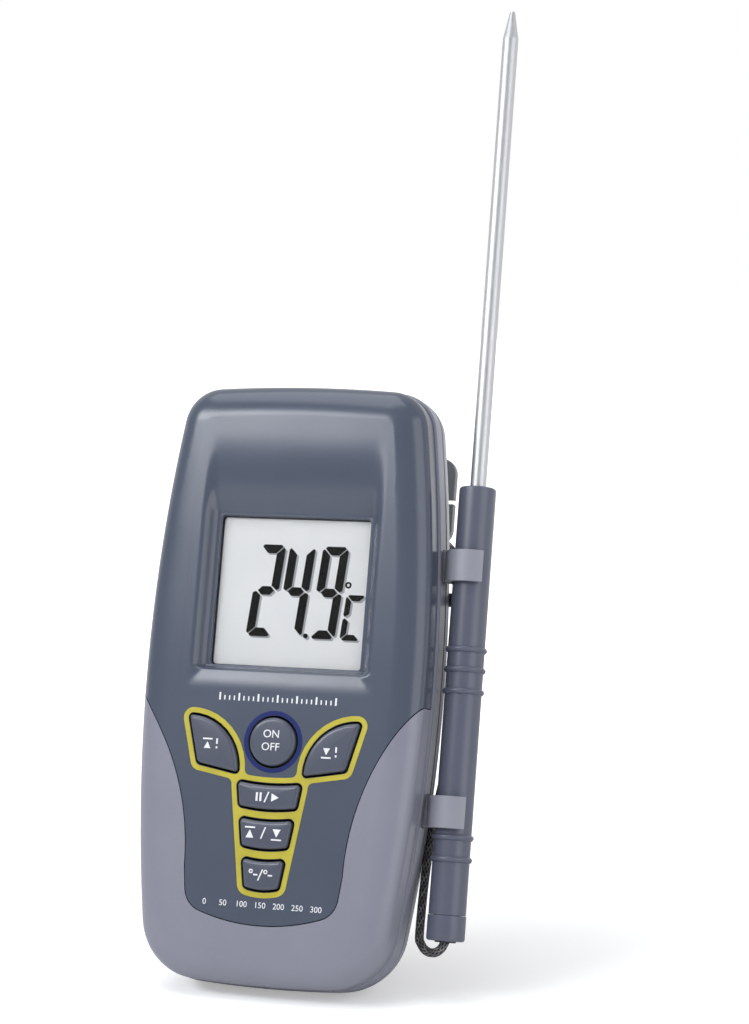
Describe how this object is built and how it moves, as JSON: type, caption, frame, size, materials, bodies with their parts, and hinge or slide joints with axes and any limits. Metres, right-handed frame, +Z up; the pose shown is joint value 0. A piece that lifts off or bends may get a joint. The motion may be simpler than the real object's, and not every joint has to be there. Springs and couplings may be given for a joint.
{
  "type": "darkroom probe thermometer",
  "caption": "Handheld darkroom thermometer leaning on its stand: two-tone grey case, large display, alarm and mode keys, and a pointed steel probe with its cord in side clips.",
  "frame": {"origin": "ground point under the middle of the standing part's bounding box", "axes": "+X to the display's right, +Y away from the face, +Z up; the case stands leaning back 14 degrees and faces -Y"},
  "size_m": [0.0693, 0.0584, 0.196],
  "materials": {
    "dark_shell": "fine matt blue-grey moulding",
    "light_shell": "fine matt light grey moulding",
    "clear_window": "clear polished acrylic",
    "display_glass": "satin grey-green display glass",
    "white_plastic": "matt white",
    "black_rubber": "matt",
    "board": "green solder mask",
    "black_plastic": "matt",
    "key_rubber": "matt",
    "zinc_screw": "plated",
    "yellow_print": "satin yellow",
    "blue_print": "satin blue",
    "key_cap": "fine matt blue-grey",
    "cell_wrap": "printed sleeve",
    "cord_jacket": "dark braided sleeve with pale flecks",
    "stainless": "satin ground steel",
    "sensor_bead": "potting resin"
  },
  "bodies": {
    "case": {"front_cover": "dark_shell", "front_housing": "light_shell", "rear_shell": "light_shell", "window_lens": "clear_window", "lcd_glass": "display_glass", "lcd_holder": "white_plastic", "zebra_strip": "black_rubber", "circuit_board": "board", "controller_chip": "black_plastic", "buzzer": "black_plastic", "keypad_mat": "key_rubber", "board_screws": "zinc_screw", "key_trim": "yellow_print", "power_ring": "blue_print", "battery": "cell_wrap", "battery_spring": "zinc_screw", "battery_plate": "zinc_screw", "case_screws": "zinc_screw", "upper_clip": "light_shell", "lower_clip": "light_shell", "stand_pin": "zinc_screw", "cord_winder": "black_plastic", "winder_screws": "zinc_screw", "cord_gland": "black_rubber", "cord_lead": "cord_jacket", "cord_coil": "cord_jacket", "cord_tail": "cord_jacket"},
    "power_key": {"power_key": "key_cap"},
    "high_alarm_key": {"high_alarm_key": "key_cap"},
    "low_alarm_key": {"low_alarm_key": "key_cap"},
    "hold_key": {"hold_key": "key_cap"},
    "max_min_key": {"max_min_key": "key_cap"},
    "unit_key": {"unit_key": "key_cap"},
    "stand": {"stand_leg": "light_shell"},
    "door": {"battery_door": "light_shell"},
    "probe": {"probe_shaft": "stainless", "temperature_sensor": "sensor_bead", "probe_handle": "dark_shell", "handle_cap": "dark_shell", "cord_grommet": "black_rubber"}
  },
  "joints": [
    {"name": "power_key_press", "type": "slide", "parent": "case", "child": "power_key", "axis": [0, 0.9703, -0.2419], "range_m": [0, 0.0006], "stiffness_N_per_m": 300},
    {"name": "high_alarm_key_press", "type": "slide", "parent": "case", "child": "high_alarm_key", "axis": [0, 0.9703, -0.2419], "range_m": [0, 0.0006], "stiffness_N_per_m": 300},
    {"name": "low_alarm_key_press", "type": "slide", "parent": "case", "child": "low_alarm_key", "axis": [0, 0.9703, -0.2419], "range_m": [0, 0.0006], "stiffness_N_per_m": 300},
    {"name": "hold_key_press", "type": "slide", "parent": "case", "child": "hold_key", "axis": [0, 0.9703, -0.2419], "range_m": [0, 0.0006], "stiffness_N_per_m": 300},
    {"name": "max_min_key_press", "type": "slide", "parent": "case", "child": "max_min_key", "axis": [0, 0.9703, -0.2419], "range_m": [0, 0.0006], "stiffness_N_per_m": 300},
    {"name": "unit_key_press", "type": "slide", "parent": "case", "child": "unit_key", "axis": [0, 0.9703, -0.2419], "range_m": [0, 0.0006], "stiffness_N_per_m": 300},
    {"name": "probe_slide", "type": "slide", "parent": "case", "child": "probe", "axis": [0, 0.2419, 0.9703], "range_m": [0, 0.085], "deforming": ["cord_tail"]},
    {"name": "stand_fold", "type": "hinge", "parent": "case", "child": "stand", "pos_m": [-0.0051, 0.00478, 0.06], "axis": [1, 0, 0], "range_deg": [-24, 0]},
    {"name": "battery_door_lift", "type": "slide", "parent": "case", "child": "door", "axis": [0, 0.9703, -0.2419], "range_m": [0, 0.02]}
  ]
}
